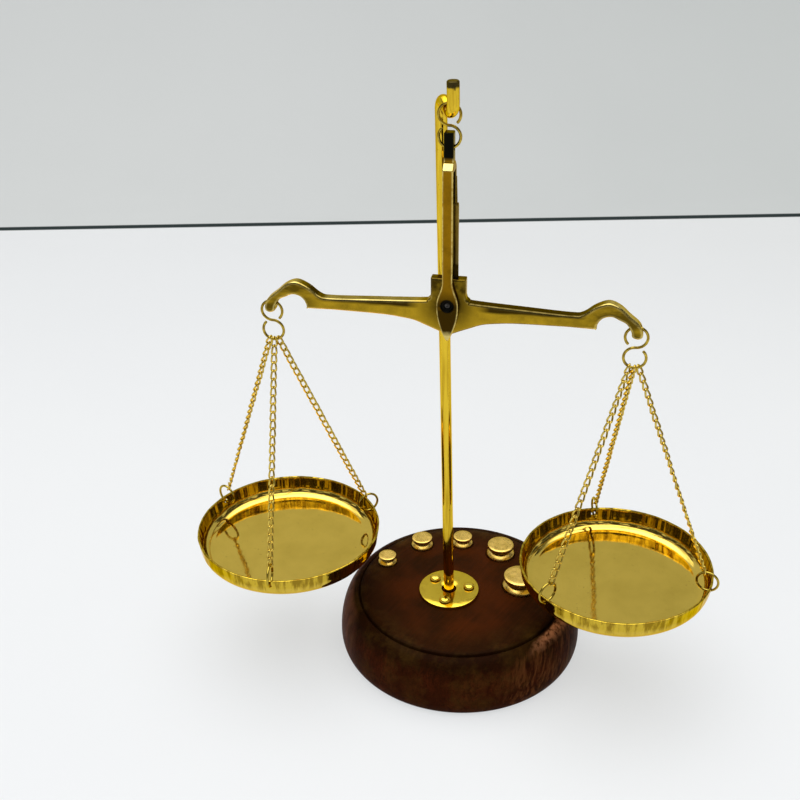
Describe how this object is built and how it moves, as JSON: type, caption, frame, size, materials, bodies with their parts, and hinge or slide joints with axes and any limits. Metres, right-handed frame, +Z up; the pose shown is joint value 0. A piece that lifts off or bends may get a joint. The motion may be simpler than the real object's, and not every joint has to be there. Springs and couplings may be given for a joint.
{
  "type": "weighing scale",
  "caption": "Small equal-arm brass balance: beam in a fork under a hooked post, pans on chains, round wooden base with spool weights.",
  "frame": {"origin": "centre of the wooden base's underside, on the surface the scale stands on", "axes": "+X along the beam towards the right pan as seen from the front, +Y towards the back, +Z up"},
  "size_m": [0.2064, 0.1012, 0.2374],
  "materials": {
    "dark_wood": "varnished, turned",
    "post_brass": "polished",
    "beam_brass": "satin",
    "pan_brass": "spun, satin",
    "chain_brass": "bright wire",
    "weight_brass": "turned, satin",
    "steel": "plain"
  },
  "bodies": {
    "stand": {"base": "dark_wood", "post": "post_brass", "flange": "post_brass", "flange_nail_1": "post_brass", "flange_nail_2": "post_brass", "flange_nail_3": "post_brass", "washer": "post_brass", "nut": "steel"},
    "top_hook": {"s_hook_top": "beam_brass"},
    "fork": {"fork": "beam_brass"},
    "beam": {"beam": "beam_brass", "pointer": "beam_brass", "pivot_pin": "steel"},
    "left_hook": {"s_hook_left": "beam_brass"},
    "left_pan": {"pan_left": "pan_brass", "ring_left_1": "chain_brass", "ring_left_2": "chain_brass", "ring_left_3": "chain_brass", "chain_left_1": "chain_brass", "chain_left_2": "chain_brass", "chain_left_3": "chain_brass"},
    "right_hook": {"s_hook_right": "beam_brass"},
    "right_pan": {"pan_right": "pan_brass", "ring_right_1": "chain_brass", "ring_right_2": "chain_brass", "ring_right_3": "chain_brass", "chain_right_1": "chain_brass", "chain_right_2": "chain_brass", "chain_right_3": "chain_brass"},
    "weight_1": {"weight_1": "weight_brass"},
    "weight_2": {"weight_2": "weight_brass"},
    "weight_3": {"weight_3": "weight_brass"},
    "weight_4": {"weight_4": "weight_brass"},
    "weight_5": {"weight_5": "weight_brass"}
  },
  "joints": [
    {"name": "top_hook_swing", "type": "hinge", "parent": "stand", "child": "top_hook", "pos_m": [-0.00309, -0.01202, 0.22565], "axis": [0, 1, 0], "range_deg": [-4, 4]},
    {"name": "fork_swing", "type": "hinge", "parent": "top_hook", "child": "fork", "pos_m": [-0.00309, -0.01202, 0.2147], "axis": [1, 0, 0], "range_deg": [-6, 2]},
    {"name": "beam_tilt", "type": "hinge", "parent": "fork", "child": "beam", "pos_m": [-0.00309, -0.01202, 0.1593], "axis": [0, -1, 0], "range_deg": [-8, 8]},
    {"name": "left_hook_turn", "type": "hinge", "parent": "beam", "child": "left_hook", "pos_m": [-0.06869, -0.01202, 0.1509], "axis": [0, -1, 0], "range_deg": [-8, 8]},
    {"name": "right_hook_turn", "type": "hinge", "parent": "beam", "child": "right_hook", "pos_m": [0.06251, -0.01202, 0.1509], "axis": [0, -1, 0], "range_deg": [-8, 8]},
    {"name": "left_pan_swing", "type": "hinge", "parent": "left_hook", "child": "left_pan", "pos_m": [-0.06869, -0.01202, 0.1392], "axis": [1, 0, 0], "range_deg": [-8, 8]},
    {"name": "right_pan_swing", "type": "hinge", "parent": "right_hook", "child": "right_pan", "pos_m": [0.06251, -0.01202, 0.1392], "axis": [1, 0, 0], "range_deg": [-8, 8]},
    {"name": "weight_1_lift", "type": "slide", "parent": "stand", "child": "weight_1", "axis": [0, 0, 1], "range_m": [0, 0.004]},
    {"name": "weight_2_lift", "type": "slide", "parent": "stand", "child": "weight_2", "axis": [0, 0, 1], "range_m": [0, 0.004]},
    {"name": "weight_3_lift", "type": "slide", "parent": "stand", "child": "weight_3", "axis": [0, 0, 1], "range_m": [0, 0.004]},
    {"name": "weight_4_lift", "type": "slide", "parent": "stand", "child": "weight_4", "axis": [0, 0, 1], "range_m": [0, 0.004]},
    {"name": "weight_5_lift", "type": "slide", "parent": "stand", "child": "weight_5", "axis": [0, 0, 1], "range_m": [0, 0.004]}
  ],
  "couplings": [
    {"joint": "left_hook_turn", "follows": "beam_tilt", "ratio": -1},
    {"joint": "right_hook_turn", "follows": "beam_tilt", "ratio": -1}
  ]
}
